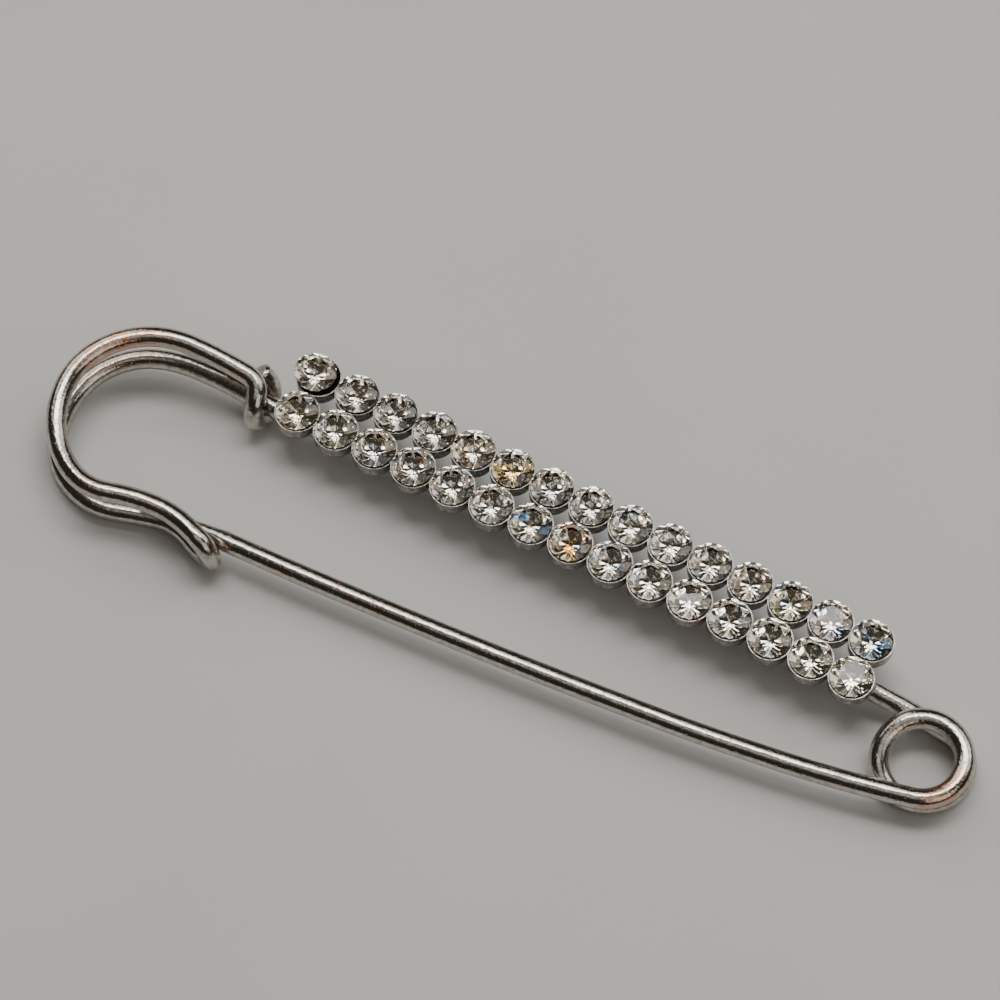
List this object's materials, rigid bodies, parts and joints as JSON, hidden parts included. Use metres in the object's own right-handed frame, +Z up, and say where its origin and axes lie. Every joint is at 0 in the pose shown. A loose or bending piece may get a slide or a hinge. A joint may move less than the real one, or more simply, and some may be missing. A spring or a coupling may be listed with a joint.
{
  "type": "safety pin brooch",
  "caption": "Large safety pin brooch lying flat: coiled spring wire with a looped head and catch, and a cast row of cups set with round cut stones.",
  "frame": {"origin": "centre of the outline in plan, on the surface that the brooch lies on", "axes": "+X along the bar towards the coil, +Y from the pin leg to the bar, +Z up, the way the stones face"},
  "size_m": [0.0764, 0.0191, 0.0069],
  "materials": {
    "wire": "bright plated steel wire, a little pitted and tarnished",
    "casting": "bright plated casting",
    "stone": "clear cut glass with a silvered back"
  },
  "bodies": {
    "frame": {"frame_wire": "wire", "cup_setting": "casting", "stone_lower_01": "stone", "stone_lower_02": "stone", "stone_lower_03": "stone", "stone_lower_04": "stone", "stone_lower_05": "stone", "stone_lower_06": "stone", "stone_lower_07": "stone", "stone_lower_08": "stone", "stone_lower_09": "stone", "stone_lower_10": "stone", "stone_lower_11": "stone", "stone_lower_12": "stone", "stone_lower_13": "stone", "stone_lower_14": "stone", "stone_lower_15": "stone", "stone_upper_01": "stone", "stone_upper_02": "stone", "stone_upper_03": "stone", "stone_upper_04": "stone", "stone_upper_05": "stone", "stone_upper_06": "stone", "stone_upper_07": "stone", "stone_upper_08": "stone", "stone_upper_09": "stone", "stone_upper_10": "stone", "stone_upper_11": "stone", "stone_upper_12": "stone", "stone_upper_13": "stone", "stone_upper_14": "stone", "stone_upper_15": "stone"},
    "leg": {"pin_leg": "wire"}
  },
  "joints": [
    {"name": "pin_leg_swing", "type": "hinge", "parent": "frame", "child": "leg", "pos_m": [0.03409, 0.00176, 0.0026], "axis": [0, 0, 1], "range_deg": [-4, 0], "stiffness_Nm_per_rad": 1.3}
  ]
}
